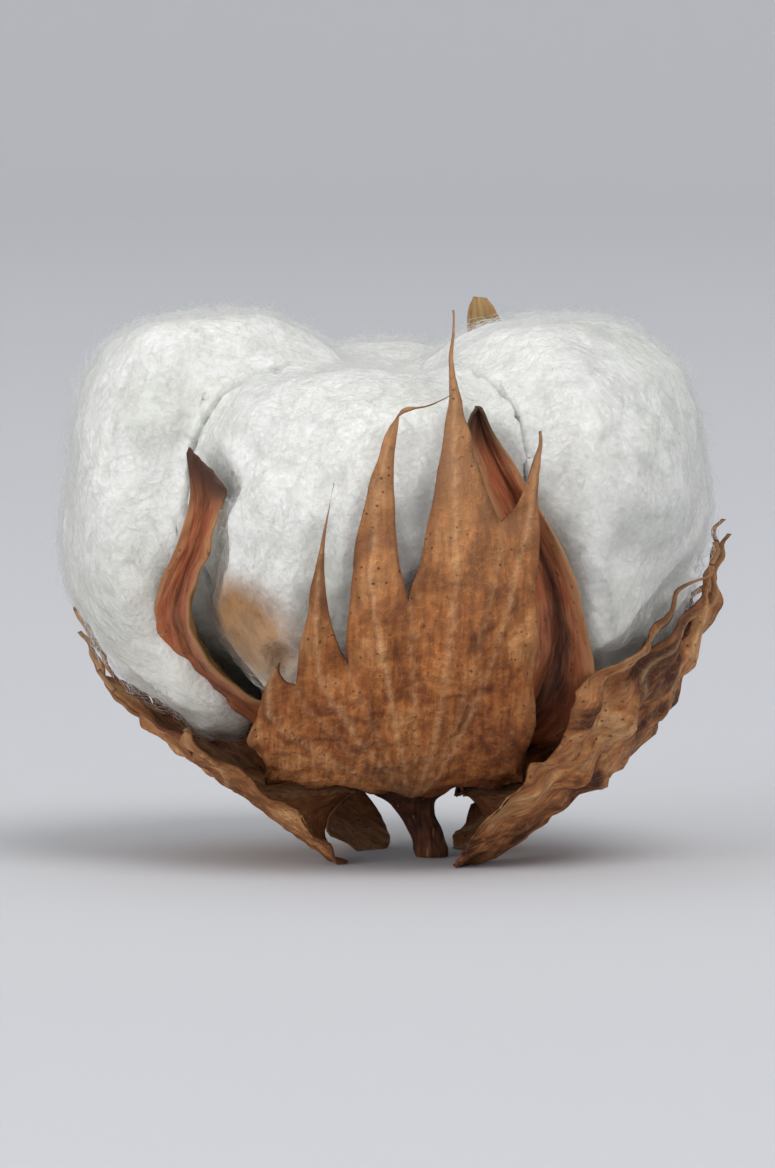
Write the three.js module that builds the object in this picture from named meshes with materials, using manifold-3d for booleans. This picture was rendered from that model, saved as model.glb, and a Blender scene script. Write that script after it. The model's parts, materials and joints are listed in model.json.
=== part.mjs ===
// An open cotton boll, picked with a stub of its stalk, standing upright.
// Five locks of white lint swell out of a dry five-valved burr. The burr sits in a shallow calyx,
// and three toothed papery bracts stand round it. The boll rests on the cut stalk and on the low
// lobes of two bracts. Millimetres, +Z up, origin on the surface below the middle of the boll.
// An azimuth is measured from the front (-Y) towards the right (+X).
import * as THREE from "three";
import { mergeVertices } from "three/addons/utils/BufferGeometryUtils.js";
import Module from "manifold-3d";

const wasm = await Module();
wasm.setup();

// Driving dimensions
const STALK_STUB = 7.2; // from the cut end up to the foot of the calyx
const STALK_LEAN = -2.4; // the foot of the calyx stands this far to the side of the cut end
const STALK_RADIUS = 1.55;
const RECEPTACLE_RADIUS = 3.8;
const LINT_TOP = 43.6; // the highest lock, above the foot of the calyx
const LINT_REACH = 31.2; // the widest lock, out from the axis
const LINT_CORE = 1.4; // where a lock begins, out from the axis
const LINT_FOOT = 3.2; // where a lock begins, above the foot of the calyx
const LINT_SIDE = 18; // half breadth of a free lock, before its neighbours press it
const LOCK_GAP = 0.5; // between two neighbouring locks
const VALVE_HALF_WIDTH = 6;
const VALVE_FLARE = 2.6; // how far a valve's margins stand out from its groove
const VALVE_THICKNESS = 0.9;
const BOWL_THICKNESS = 1.0;
const CALYX_THICKNESS = 0.7;
const CALYX_SCALLOP = 1.4; // how far the rim dips between two teeth
const BRACT_THICKNESS = 0.7;
const CLEARANCE = 0.5; // left in the lint round what presses into it
const CLAW = new THREE.Vector2(4.5, -0.9); // where a bract joins the receptacle: radius, height

// Fineness of the meshes
const LOCK_DETAIL = 5;
const ROUND_SIDES = 30;
const VALVE_ROWS = 11;
const VALVE_COLUMNS = 6;
const BLADE_ROWS = 8;
const TOOTH_ROWS = 4;
const TOOTH_COLUMNS = 3;

const degrees = THREE.MathUtils.degToRad;
const lerp = THREE.MathUtils.lerp;
const smoothstep = THREE.MathUtils.smoothstep;

// A point at an azimuth, a radius from the boll's axis and a height.
function around(azimuth, radius, height) {
  return new THREE.Vector3(radius * Math.sin(azimuth), -radius * Math.cos(azimuth), height);
}

// A smooth course through values at even steps, read at a share from 0 to 1.
function steps(values, share) {
  return new THREE.SplineCurve(values.map((value) => new THREE.Vector2(0, value))).getPoint(share).y;
}

// A smooth curve through points given as radius and height.
function profileOf(points) {
  return new THREE.SplineCurve(points.map(([radius, height]) => new THREE.Vector2(radius, height)));
}

// Repeatable random numbers from 0 to 1.
function randomFrom(seed) {
  let state = seed;
  return () => {
    state = (state * 16807) % 2147483647;
    return state / 2147483647;
  };
}

// Closed triangle meshes as solids, and solids as geometry.
function solidOf(geometry) {
  const bare = new THREE.BufferGeometry().setAttribute("position", geometry.getAttribute("position"));
  bare.setIndex(geometry.getIndex());
  const merged = mergeVertices(bare, 1e-4);
  const corners = merged.index.array;
  const kept = [];
  for (let i = 0; i < corners.length; i += 3) {
    const [a, b, c] = corners.subarray(i, i + 3);
    if (a !== b && b !== c && a !== c) kept.push(a, b, c);
  }
  const vertProperties = merged.attributes.position.array;
  const solid = new wasm.Manifold(
    new wasm.Mesh({ numProp: 3, vertProperties, triVerts: new Uint32Array(kept) }),
  );
  if (solid.volume() > 0) return solid;
  const turned = new Uint32Array(kept).reverse();
  return new wasm.Manifold(new wasm.Mesh({ numProp: 3, vertProperties, triVerts: turned }));
}

function geometryOf(solid) {
  const mesh = solid.getMesh();
  const geometry = new THREE.BufferGeometry();
  geometry.setAttribute("position", new THREE.BufferAttribute(mesh.vertProperties, 3));
  geometry.setIndex(new THREE.BufferAttribute(mesh.triVerts, 1));
  geometry.computeVertexNormals();
  return geometry;
}

// The largest body of a solid: what a cut leaves loose is dropped.
function mainBody(solid) {
  return solid.decompose().reduce((most, body) => (body.volume() > most.volume() ? body : most));
}

// A thin sheet as a closed solid. A net is flat points with faces over them, and surface(x, y) bends it.
function sheetSolid(net, surface, thickness) {
  const step = 0.05;
  const positions = [];
  for (const [x, y] of net.points) {
    const middle = surface(x, y);
    const across = surface(x + step, y).sub(surface(x - step, y));
    const along = surface(x, y + step).sub(surface(x, y - step));
    const half = across.cross(along).setLength(thickness / 2);
    positions.push(...middle.clone().add(half), ...middle.clone().sub(half));
  }
  const triangles = [];
  const edges = new Map();
  for (const face of net.faces) {
    for (let i = 1; i + 1 < face.length; i++) {
      const [a, b, c] = [face[0], face[i], face[i + 1]];
      triangles.push(2 * a, 2 * b, 2 * c, 2 * a + 1, 2 * c + 1, 2 * b + 1);
    }
    face.forEach((a, i) => {
      const b = face[(i + 1) % face.length];
      edges.set(`${a},${b}`, [a, b]);
    });
  }
  for (const [a, b] of edges.values()) {
    if (edges.has(`${b},${a}`)) continue;
    triangles.push(2 * b, 2 * a, 2 * a + 1, 2 * b, 2 * a + 1, 2 * b + 1);
  }
  const geometry = new THREE.BufferGeometry();
  geometry.setAttribute("position", new THREE.Float32BufferAttribute(positions, 3));
  geometry.setIndex(triangles);
  return solidOf(geometry);
}

// A turned cup with a closed foot: path runs from the axis out to the rim, as radius and height.
function cupGeometry(path, thickness, rimDrop) {
  const rows = 7;
  const outer = [];
  const inner = [];
  for (let i = 0; i <= rows; i++) {
    const point = path.getPointAt(i / rows);
    const tangent = path.getTangentAt(i / rows);
    outer.push(new THREE.Vector2(Math.max(point.x, 0), point.y));
    inner.unshift(new THREE.Vector2(point.x - tangent.y * thickness, point.y + tangent.x * thickness));
  }
  inner[rows].x = 0;
  const cup = new THREE.LatheGeometry([...outer, ...inner], ROUND_SIDES);
  cup.rotateX(Math.PI / 2);
  const positions = cup.getAttribute("position");
  const rim = outer[rows].y;
  for (let i = 0; i < positions.count; i++) {
    const azimuth = Math.atan2(positions.getX(i), -positions.getY(i));
    const height = positions.getZ(i);
    const share = Math.max(height / rim, 0) ** 3;
    positions.setZ(i, height - rimDrop * share * (0.5 - 0.5 * Math.cos(5 * azimuth)));
  }
  return cup;
}

// Stalk: a tapered stub that leans, flat at its cut end, swelling into the receptacle.
function stalkSolid() {
  const top = STALK_STUB - 0.35;
  const profile = [
    [0, 0], [STALK_RADIUS, 0], [STALK_RADIUS, 2], [STALK_RADIUS * 1.08, 4],
    [STALK_RADIUS * 1.45, 5.2], [RECEPTACLE_RADIUS * 0.86, 5.9], [RECEPTACLE_RADIUS, 6.4],
    [RECEPTACLE_RADIUS * 0.97, top], [0, top],
  ].map(([radius, height]) => new THREE.Vector2(radius, height));
  const stalk = new THREE.LatheGeometry(profile, 20);
  stalk.rotateX(Math.PI / 2);
  const positions = stalk.getAttribute("position");
  for (let i = 0; i < positions.count; i++) {
    const share = smoothstep(positions.getZ(i), 0, STALK_STUB);
    positions.setX(i, positions.getX(i) + STALK_LEAN * share);
  }
  return solidOf(stalk);
}

// Burr: a bowl whose rim splits into five boat-shaped valves, each with a groove down its back.
// height stretches a valve. turns are its azimuths and leans its shifts out from the axis, both at
// even steps from the foot to the tip. tail widens the tip into two points, and slant carries one of
// them higher.
const VALVES = [
  {
    height: 0.91,
    turns: [-48, -58, -60, -56, -46, -44],
    leans: [0, 1, 2, 2.6, 2.4, 3],
    tail: 2.2,
    slant: -1.6,
  },
  {
    height: 1.07,
    turns: [36, 37, 37, 33, 25, 18],
    leans: [0, 0.8, 1.8, 2.4, 2.2, 1.6],
    tail: 0,
    slant: 0,
  },
  {
    height: 0.66,
    turns: [97, 97, 98, 98, 99, 101],
    leans: [0, 0, 0.2, 0.5, 0.9, 1.6],
    tail: 0,
    slant: 0,
  },
  {
    height: 1.32,
    turns: [160, 160, 160, 160, 157, 149],
    leans: [0, 1, 2.4, 3, -1, -10],
    tail: 0.4,
    slant: 0,
  },
  {
    height: 0.95,
    turns: [236, 236, 238, 241, 243, 243],
    leans: [0, 1, 2.6, 3.6, 4.2, 5.4],
    tail: 0,
    slant: 0,
  },
];

const BURR_PATH = profileOf([
  [6.5, 1.7], [11.6, 4.4], [16.2, 8.4], [20, 13.4], [22.4, 19.2], [22.9, 25.4], [22.4, 30.5], [22.8, 33.6],
]);

function valveHalfWidth(valve, along) {
  const tapered = VALVE_HALF_WIDTH * (1 - along) ** 0.56 * (1 + 0.25 * along) + 0.3;
  return tapered + valve.tail * smoothstep(along, 0.84, 1);
}

function valveSolid(valve, margin) {
  const surface = (across, along) => {
    const share = THREE.MathUtils.clamp(along, 0, 1);
    const tangent = BURR_PATH.getTangentAt(share);
    const past = Math.max(along - 1, 0) * BURR_PATH.getLength();
    const raised = valve.slant * across * smoothstep(share, 0.84, 1);
    const point = BURR_PATH.getPointAt(share).addScaledVector(tangent, past + raised);
    const rise = lerp(1, valve.height, smoothstep(share, 0.1, 0.6));
    const turn = steps(valve.turns, share);
    const lean = steps(valve.leans, share);
    const opened = smoothstep(share, 0.22, 0.55) * (1 - 0.65 * share);
    const flare = VALVE_FLARE * opened * Math.abs(across) ** 1.6;
    const radius = point.x + tangent.y * flare + lean;
    const height = point.y * rise - tangent.x * flare;
    const halfWidth = valveHalfWidth(valve, share) + margin;
    return around(degrees(turn) + (across * halfWidth) / radius, radius, height);
  };
  const points = [];
  const faces = [];
  const end = 1 + margin / BURR_PATH.getLength();
  for (let j = 0; j <= VALVE_ROWS; j++) {
    for (let i = 0; i <= VALVE_COLUMNS; i++) {
      points.push([(2 * i) / VALVE_COLUMNS - 1, (j * end) / VALVE_ROWS]);
    }
  }
  const row = VALVE_COLUMNS + 1;
  for (let j = 0; j < VALVE_ROWS; j++) {
    for (let i = 0; i < VALVE_COLUMNS; i++) {
      const a = j * row + i;
      faces.push([a, a + 1, a + row + 1, a + row]);
    }
  }
  return sheetSolid({ points, faces }, surface, VALVE_THICKNESS + 2 * margin);
}

function bowlSolid() {
  const path = profileOf([[0, 1.1], [3, 1.15], [7.2, 1.9], [11.2, 4.1], [13.2, 5.7]]);
  return solidOf(cupGeometry(path, BOWL_THICKNESS, 0));
}

function valvesOn(bowl, margin) {
  return VALVES.reduce((burr, valve) => burr.add(valveSolid(valve, margin)), bowl);
}

// Calyx: a shallow papery cup with five low teeth, outside the foot of the burr.
function calyxSolid() {
  const path = profileOf([[0, 0], [4, 0.1], [8.4, 0.7], [12.4, 2.7], [14.8, 4.5]]);
  return solidOf(cupGeometry(path, CALYX_THICKNESS, CALYX_SCALLOP));
}

// A cup with room round its wall and its rim.
function roomRound(cup) {
  const wider = cup.scale([1.04, 1.04, 1]);
  const raised = cup.translate([0, 0, CLEARANCE]).add(wider.translate([0, 0, CLEARANCE]));
  return cup.add(wider).add(raised).add(wider.translate([0, 0, -CLEARANCE]));
}

// Bracts: heart-shaped papery blades cut at the top into long tapering teeth.
// profile is the blade's curve out and up, as radius and height. drop is how much of it hangs below
// the claw. Sinuses and tips are the notches and the points of the teeth on the flattened blade,
// bends bow each tooth sideways and tapers draw it out thin.
const BRACTS = [
  {
    name: "bract_front",
    azimuth: 5,
    drop: 1,
    foot: [-15.5, 11.5],
    lobe: 0.6,
    profile: [
      [9.5, 0], [14, 1.4], [19.6, 4.8], [24.8, 11], [27.8, 19.5], [28.4, 28], [26.6, 36], [22, 44.5],
    ],
    sinuses: [[-16.5, 11], [-12.6, 17.5], [-7.5, 20], [-2.2, 26.4], [6.4, 33.6], [10.4, 27]],
    tips: [[-14.6, 20], [-9, 37.2], [-0.4, 44], [2.1, 54], [10.3, 41]],
    bends: [-0.5, -2, -4.2, -0.6, 0.6],
    tapers: [1.3, 2, 1, 2.1, 1.5],
    lift: 0.6,
  },
  {
    name: "bract_left",
    azimuth: -104,
    drop: 9.2,
    foot: [-14, 14],
    lobe: 8.8,
    profile: [[5.4, -7.9], [11.5, -4], [17.2, 0.2], [23.4, 5.2], [27.8, 10.4], [30, 15.5], [31, 20]],
    sinuses: [
      [-15.5, 5], [-12, 9.5], [-7.5, 12], [-2.5, 13.5], [2.5, 13.5], [7.5, 12], [12, 9.5], [15.5, 5],
    ],
    tips: [[-17.5, 14], [-12.5, 19.5], [-6.5, 23.5], [0.5, 26], [6.5, 24], [12.5, 20.5], [18, 14]],
    bends: [-0.8, -0.8, 0.6, 0.8, -0.6, 0.8, 0.8],
    tapers: [1.3, 1.5, 1.5, 1.7, 1.5, 1.5, 1.3],
    lift: 0.5,
  },
  {
    name: "bract_right",
    azimuth: 92,
    drop: 9.2,
    foot: [-16.5, 15],
    lobe: 8.8,
    profile: [[6.6, -7.9], [12.2, -4.8], [17.2, -0.8], [22, 4], [25, 9.5], [27, 16], [28.4, 25]],
    sinuses: [
      [-23.7, 17], [-18.5, 17.8], [-11.5, 17.6], [-4, 17.8], [2, 17], [8, 15.5], [13, 12.5], [17.5, 7],
    ],
    tips: [[-11.6, 28.5], [-7.6, 30.5], [-4, 31], [0, 32], [6, 29.5], [12, 25], [18.5, 16.5]],
    bends: [-1.4, -0.8, 0.8, -0.8, -0.6, 0.8, 0.8],
    tapers: [1.5, 1.5, 1.6, 1.7, 1.5, 1.5, 1.3],
    lift: 0.6,
  },
];
const WRAP_LEAST = 15; // a bract never curls round tighter than this
const CLAW_BREADTH = 3.2;
const CLAW_LENGTH = 5;
const CRINKLE = 0.4;

// The flat net of a bract: columns run from the foot to the notches, and on into each tooth.
function bractNet(bract, margin) {
  const teeth = bract.tips.length;
  const columns = teeth * TOOTH_COLUMNS;
  const points = [];
  const faces = [];
  const rimOf = (column) => {
    const tooth = Math.min(Math.floor(column / TOOTH_COLUMNS), teeth - 1);
    const share = column / TOOTH_COLUMNS - tooth;
    const [[x0, y0], [x1, y1]] = [bract.sinuses[tooth], bract.sinuses[tooth + 1]];
    return new THREE.Vector2(lerp(x0, x1, share), lerp(y0, y1, share));
  };
  for (let column = 0; column <= columns; column++) {
    const side = (2 * column) / columns - 1;
    const hang = Math.abs(Math.sin(Math.PI * Math.abs(side) ** 0.9)) ** 0.7;
    const breadth = side < 0 ? -bract.foot[0] : bract.foot[1];
    const foot = new THREE.Vector2(side * breadth, -bract.lobe * hang);
    const rim = rimOf(column);
    for (let row = 0; row <= BLADE_ROWS; row++) {
      points.push(foot.clone().lerp(rim, row / BLADE_ROWS).toArray());
    }
  }
  const columnSize = BLADE_ROWS + 1;
  for (let column = 0; column < columns; column++) {
    for (let row = 0; row < BLADE_ROWS; row++) {
      const a = column * columnSize + row;
      faces.push([a, a + columnSize, a + columnSize + 1, a + 1]);
    }
  }
  bract.tips.forEach(([tipX, tipY], tooth) => {
    const first = tooth * TOOTH_COLUMNS;
    const root = rimOf(first).add(rimOf(first + TOOTH_COLUMNS - 1e-6)).multiplyScalar(0.5);
    const tip = new THREE.Vector2(tipX, tipY);
    const bow = root.clone().lerp(tip, 0.5);
    bow.x += bract.bends[tooth];
    tip.addScaledVector(tip.clone().sub(bow).normalize(), 3 * margin);
    const line = new THREE.QuadraticBezierCurve(root, bow, tip);
    let below = [];
    for (let i = 0; i <= TOOTH_COLUMNS; i++) below.push((first + i) * columnSize + BLADE_ROWS);
    for (let row = 1; row < TOOTH_ROWS; row++) {
      const share = row / TOOTH_ROWS;
      const centre = line.getPoint(share);
      const above = [];
      for (let i = 0; i <= TOOTH_COLUMNS; i++) {
        const side = (2 * i) / TOOTH_COLUMNS - 1;
        const spread = rimOf(first + Math.min(i, TOOTH_COLUMNS - 1e-6)).sub(root);
        const point = centre.clone().addScaledVector(spread, (1 - share) ** bract.tapers[tooth]);
        above.push(points.length);
        points.push([point.x + side * margin, point.y]);
      }
      for (let i = 0; i < TOOTH_COLUMNS; i++) faces.push([below[i], below[i + 1], above[i + 1], above[i]]);
      below = above;
    }
    for (let i = 0; i < TOOTH_COLUMNS; i++) faces.push([below[i], below[i + 1], points.length]);
    points.push(tip.toArray());
  });
  return { points, faces };
}

function bractSolid(bract, margin = 0) {
  const profile = profileOf(bract.profile);
  const reach = profile.getLength();
  const turn = degrees(bract.azimuth);
  const surface = (x, y) => {
    const share = THREE.MathUtils.clamp((y + bract.drop) / reach, 0, 1);
    const point = profile.getPointAt(share);
    const outward = Math.max(y + bract.drop - reach, 0);
    const pinch = Math.exp(-((x / CLAW_BREADTH) ** 2) - (y / CLAW_LENGTH) ** 2);
    point.lerp(CLAW, pinch);
    const wrap = Math.max(point.x, WRAP_LEAST);
    const open = smoothstep(y, 4, 16);
    const crinkle = CRINKLE * open * Math.sin(0.85 * x + 1.4 * Math.sin(0.16 * y));
    const lifted = bract.lift * smoothstep(y, 24, 52) + crinkle;
    const radial = point.x + lifted - wrap * (1 - Math.cos(x / wrap));
    const sideways = wrap * Math.sin(x / wrap);
    const out = around(turn, radial, point.y + outward);
    return out.add(new THREE.Vector3(Math.cos(turn), Math.sin(turn), 0).multiplyScalar(sideways));
  };
  const solid = sheetSolid(bractNet(bract, margin), surface, BRACT_THICKNESS + 2 * margin);
  if (margin > 0) return solid;
  return solid.warp((vertex) => {
    vertex[2] = Math.max(vertex[2], -STALK_STUB);
  });
}

// Locks: five puffs of lint, each swollen between two valves and pressed flat against its neighbours.
// Azimuth and half angle of the wedge, reach out from the axis, top height, and inward tuck at the foot.
const LOCKS = [
  { azimuth: -90, half: 34, reach: LINT_REACH, top: LINT_TOP, tuck: 0.8 },
  { azimuth: -13, half: 43, reach: 27, top: 39, tuck: 4 },
  { azimuth: 63.5, half: 33.5, reach: 28.4, top: LINT_TOP - 0.6, tuck: 2 },
  { azimuth: 128.5, half: 31.5, reach: 28.2, top: LINT_TOP - 0.8, tuck: 2.4 },
  { azimuth: 198, half: 38, reach: 29.6, top: 39, tuck: 2 },
];
const LINT_MIDDLE = 22.5; // height of a lock's broadest level
const TUFTS = 11;
const TUFT_RISE = 0.06;
const TUFT_SPREAD = 0.32;
const TUFT_MEAN = 0.6;

function lockSolid(lock, index) {
  const random = randomFrom(401 + 97 * index);
  const tufts = [];
  for (let i = 0; i < TUFTS; i++) {
    const turn = lerp(-1.4, 1.4, random());
    const lift = lerp(-0.7, 1.2, random());
    const level = Math.cos(lift);
    tufts.push(new THREE.Vector3(level * Math.cos(turn), level * Math.sin(turn), Math.sin(lift)));
  }
  const puff = new THREE.IcosahedronGeometry(1, LOCK_DETAIL);
  const positions = puff.getAttribute("position");
  const way = new THREE.Vector3();
  const halfReach = (lock.reach - LINT_CORE) / 2;
  const slope = Math.tan(degrees(lock.half));
  for (let i = 0; i < positions.count; i++) {
    way.fromBufferAttribute(positions, i).normalize();
    const upright = smoothstep(way.z, -0.5, 0.5);
    const power = lerp(1.9, 2.5, upright);
    const rise = way.z > 0 ? lock.top - LINT_MIDDLE : LINT_MIDDLE - LINT_FOOT;
    const sizes = [way.x / halfReach, way.y / LINT_SIDE, way.z / rise];
    let size = sizes.reduce((sum, value) => sum + Math.abs(value) ** power, 0) ** (-1 / power);
    const swells = tufts.map((tuft) => Math.exp(-((way.angleTo(tuft) / TUFT_SPREAD) ** 2)));
    const swell = swells.reduce((sum, value) => sum + value, 0);
    size *= 1 + TUFT_RISE * (swell - TUFT_MEAN);
    const height = LINT_MIDDLE + size * way.z;
    const depth = Math.max(LINT_MIDDLE - height, 0) / LINT_MIDDLE;
    const outward = LINT_CORE + halfReach + size * way.x - lock.tuck * depth * depth * 1.7;
    const limit = Math.max(outward * slope - LOCK_GAP / 2 / Math.cos(degrees(lock.half)), 0.2);
    const free = (size * way.y) / limit;
    const sideways = (limit * free) / (1 + Math.abs(free) ** 5) ** 0.2;
    const point = around(degrees(lock.azimuth), outward, height);
    point.x += sideways * Math.cos(degrees(lock.azimuth));
    point.y += sideways * Math.sin(degrees(lock.azimuth));
    positions.setXYZ(i, point.x, point.y, point.z);
  }
  return solidOf(puff);
}

const LINT = { color: 0xf2f1ec, roughness: 1, metalness: 0 };
const VALVE_SKIN = { color: 0x6a3a22, roughness: 0.7, metalness: 0 };
const DRY_LEAF = { color: 0xa0703f, roughness: 0.85, metalness: 0 };
const BARK = { color: 0x70401f, roughness: 0.75, metalness: 0 };

function piece(name, solid, look) {
  const mesh = new THREE.Mesh(geometryOf(solid), new THREE.MeshStandardMaterial(look));
  mesh.name = name;
  return mesh;
}

const boll = new THREE.Group();
boll.position.set(STALK_LEAN, 0, STALK_STUB);
boll.add(piece("calyx", calyxSolid(), DRY_LEAF));
boll.add(piece("burr", valvesOn(bowlSolid(), 0), VALVE_SKIN));
for (const bract of BRACTS) boll.add(piece(bract.name, bractSolid(bract), DRY_LEAF));

const cups = valvesOn(roomRound(bowlSolid()).add(roomRound(calyxSolid())), CLEARANCE);
const pressed = BRACTS.reduce((sum, bract) => sum.add(bractSolid(bract, CLEARANCE)), cups);
LOCKS.forEach((lock, index) => {
  const puff = mainBody(lockSolid(lock, index).subtract(pressed));
  boll.add(piece(`lock_${index + 1}`, puff, LINT));
});

// The whole boll, stood with the middle of its outline over the origin.
const standing = new THREE.Group();
standing.add(piece("stalk", stalkSolid(), BARK));
standing.add(boll);
const outline = new THREE.Box3().setFromObject(standing, true);
const middle = outline.getCenter(new THREE.Vector3());
standing.position.set(-middle.x, -middle.y, -outline.min.z);

const root = new THREE.Group();
root.add(standing);

export default root;
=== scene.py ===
import json
import math

import bmesh
import bpy
import numpy as np
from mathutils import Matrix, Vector

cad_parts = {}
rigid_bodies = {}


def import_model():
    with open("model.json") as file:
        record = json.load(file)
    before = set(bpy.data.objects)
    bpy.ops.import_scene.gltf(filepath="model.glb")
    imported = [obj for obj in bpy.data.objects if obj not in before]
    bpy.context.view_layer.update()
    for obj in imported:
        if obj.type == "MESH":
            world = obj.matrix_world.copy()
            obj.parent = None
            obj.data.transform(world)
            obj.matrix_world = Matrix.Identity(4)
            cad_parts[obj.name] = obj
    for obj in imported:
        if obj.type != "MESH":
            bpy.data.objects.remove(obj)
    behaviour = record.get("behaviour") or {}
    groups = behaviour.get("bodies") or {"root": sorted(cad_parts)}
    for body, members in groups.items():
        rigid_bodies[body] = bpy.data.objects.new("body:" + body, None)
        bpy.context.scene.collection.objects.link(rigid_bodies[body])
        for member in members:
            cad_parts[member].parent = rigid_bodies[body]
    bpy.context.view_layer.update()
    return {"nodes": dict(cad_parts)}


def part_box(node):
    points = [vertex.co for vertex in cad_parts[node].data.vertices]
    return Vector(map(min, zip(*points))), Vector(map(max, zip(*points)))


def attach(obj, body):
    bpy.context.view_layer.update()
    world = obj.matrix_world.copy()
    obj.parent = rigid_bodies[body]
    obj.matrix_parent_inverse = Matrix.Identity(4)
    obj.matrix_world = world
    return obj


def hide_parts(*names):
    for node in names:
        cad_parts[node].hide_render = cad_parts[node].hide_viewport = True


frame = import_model()


# Stalk
# The boll's own woody stalk, cut to a short stub. It swells at the top into the receptacle that
# carries the calyx and the bracts. Ridged brown bark covers it; pale wood shows on the cut end.

MM = 0.001
calyx_low, calyx_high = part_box("calyx")
calyx_middle = (np.array(calyx_low) + np.array(calyx_high)) / 2
BOLL_FOOT = np.array([calyx_middle[0], calyx_middle[1], calyx_low.z])
STALK_STUB = 7.2  # from the cut end up to the foot of the calyx, in millimetres as all sizes here
STALK_LEAN = -2.4
STALK_SIDE = [(1.5, 0.1), (1.55, 0.5), (1.55, 2), (1.67, 4), (2.25, 5.2), (3.27, 5.9), (3.8, 6.4)]
STALK_CUT = [(0, 0), (0.5, 0), (1, 0), (1.35, 0), (1.44, 0.02)]
STALK_TOP = [(3.72, 6.78), (3.5, 6.84), (0, 6.85)]
STALK_SIDES = 72
STALK_ROWS = 64


def in_frame(points):
    """Points in millimetres from the foot of the calyx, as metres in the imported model's frame."""
    return BOLL_FOOT + MM * np.asarray(points, float)


def around(azimuth, radius, height):
    """Points at an azimuth from the front towards the right, out from the boll's axis."""
    spread = np.broadcast_arrays(radius * np.sin(azimuth), -radius * np.cos(azimuth), height)
    return np.stack(spread, -1)


def smoothstep(value, low, high):
    share = np.clip((value - low) / (high - low), 0, 1)
    return share * share * (3 - 2 * share)


def course(knots, share):
    """A smooth course through knots at even steps, read at shares from 0 to 1."""
    knots = np.asarray(knots, float)
    padded = np.concatenate([knots[:1], knots, knots[-1:]])
    place = np.clip(share, 0, 1) * (len(knots) - 1)
    step = np.minimum(place.astype(int), len(knots) - 2)
    t = (place - step) if knots.ndim == 1 else (place - step)[..., None]
    before, here, ahead, after = (padded[step + i] for i in range(4))
    leave, arrive = (ahead - before) / 2, (after - here) / 2
    cubic = 2 * here - 2 * ahead + leave + arrive
    square = 3 * ahead - 3 * here - 2 * leave - arrive
    return ((cubic * t + square) * t + leave) * t + here


def turned_form(rows, sides, shape):
    """A closed turned form. Rows of radius and height run from pole to pole; shape bends them."""
    rows = np.asarray(rows, float)
    azimuth = np.arange(sides) * 2 * math.pi / sides
    turn, radius = np.meshgrid(azimuth, rows[1:-1, 0])
    height = np.repeat(rows[1:-1, 1:], sides, axis=1)
    rings = shape(turn, radius, height).reshape(-1, 3)
    poles = shape(np.zeros(2), rows[[0, -1], 0], rows[[0, -1], 1])
    faces = []
    last = len(rings) - sides
    for i in range(sides):
        j = (i + 1) % sides
        faces.append((len(rings), j, i))
        faces.append((last + i, last + j, len(rings) + 1))
        for ring in range(0, last, sides):
            faces.append((ring + i, ring + j, ring + sides + j, ring + sides + i))
    return np.vstack([rings, poles]), faces


def add_object(name, data):
    """A new object in the scene, at the origin."""
    added = bpy.data.objects.new(name, data)
    bpy.context.scene.collection.objects.link(added)
    return added


def make_piece(name, points, faces, material, marks=None, flat=None):
    """A mesh piece. Its finish reads the marks, and flat, the surface laid out."""
    mesh = bpy.data.meshes.new(name)
    mesh.from_pydata(in_frame(points).tolist(), [], faces)
    mesh.materials.append(material)
    mesh.shade_smooth()
    for mark, values in (marks or {}).items():
        stored = mesh.attributes.new(mark, "FLOAT", "POINT")
        stored.data.foreach_set("value", np.asarray(values, np.float32))
    if flat is not None:
        corners = np.empty(len(mesh.loops), np.int32)
        mesh.loops.foreach_get("vertex_index", corners)
        layout = mesh.uv_layers.new(name="flat")
        layout.data.foreach_set("uv", (MM * flat[corners]).astype(np.float32).ravel())
    return add_object(name, mesh)


def paint(red, green, blue):
    """A colour from its screen values as a shader takes it."""
    shares = np.array([red, green, blue]) / 255
    linear = np.where(shares <= 0.04045, shares / 12.92, ((shares + 0.055) / 1.055) ** 2.4)
    return (*linear.tolist(), 1.0)


def add_node(tree, kind, inputs, **settings):
    """Adds a node. Each input is a value, or the socket that feeds it."""
    node = tree.nodes.new(kind)
    for setting, value in settings.items():
        setattr(node, setting, value)
    for socket, value in inputs.items():
        if isinstance(value, bpy.types.NodeSocket):
            tree.links.new(value, node.inputs[socket])
        else:
            node.inputs[socket].default_value = value
    return node


def new_finish(name, **sockets):
    """A material with its node tree and its shader. Constant sockets are given by name."""
    material = bpy.data.materials.new(name)
    material.use_nodes = True
    shader = material.node_tree.nodes["Principled BSDF"]
    for socket, value in sockets.items():
        shader.inputs[socket.replace("_", " ")].default_value = value
    return material, material.node_tree, shader


def grain(tree, place, size, detail=4, roughness=0.55, distortion=0.0):
    """A noise of about that size in millimetres."""
    inputs = {"Vector": place, "Scale": 1 / (size * MM), "Detail": detail}
    inputs |= {"Roughness": roughness, "Distortion": distortion}
    return add_node(tree, "ShaderNodeTexNoise", inputs).outputs["Fac"]


def cells(tree, place, size, feature):
    """Voronoi cells of that size: F1 gives dots, DISTANCE_TO_EDGE gives the lines between them."""
    inputs = {"Vector": place, "Scale": 1 / (size * MM)}
    return add_node(tree, "ShaderNodeTexVoronoi", inputs, feature=feature).outputs["Distance"]


def between(tree, value, low, high, start=0.0, end=1.0):
    """A value eased from start at low to end at high."""
    inputs = {"Value": value, "From Min": low, "From Max": high, "To Min": start, "To Max": end}
    node = add_node(tree, "ShaderNodeMapRange", inputs, interpolation_type="SMOOTHSTEP")
    return node.outputs["Result"]


def combine(tree, operation, first, second):
    """Two values worked into one by a Math node's operation."""
    node = add_node(tree, "ShaderNodeMath", {0: first, 1: second}, operation=operation)
    return node.outputs["Value"]


def times(tree, first, second):
    return combine(tree, "MULTIPLY", first, second)


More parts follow.
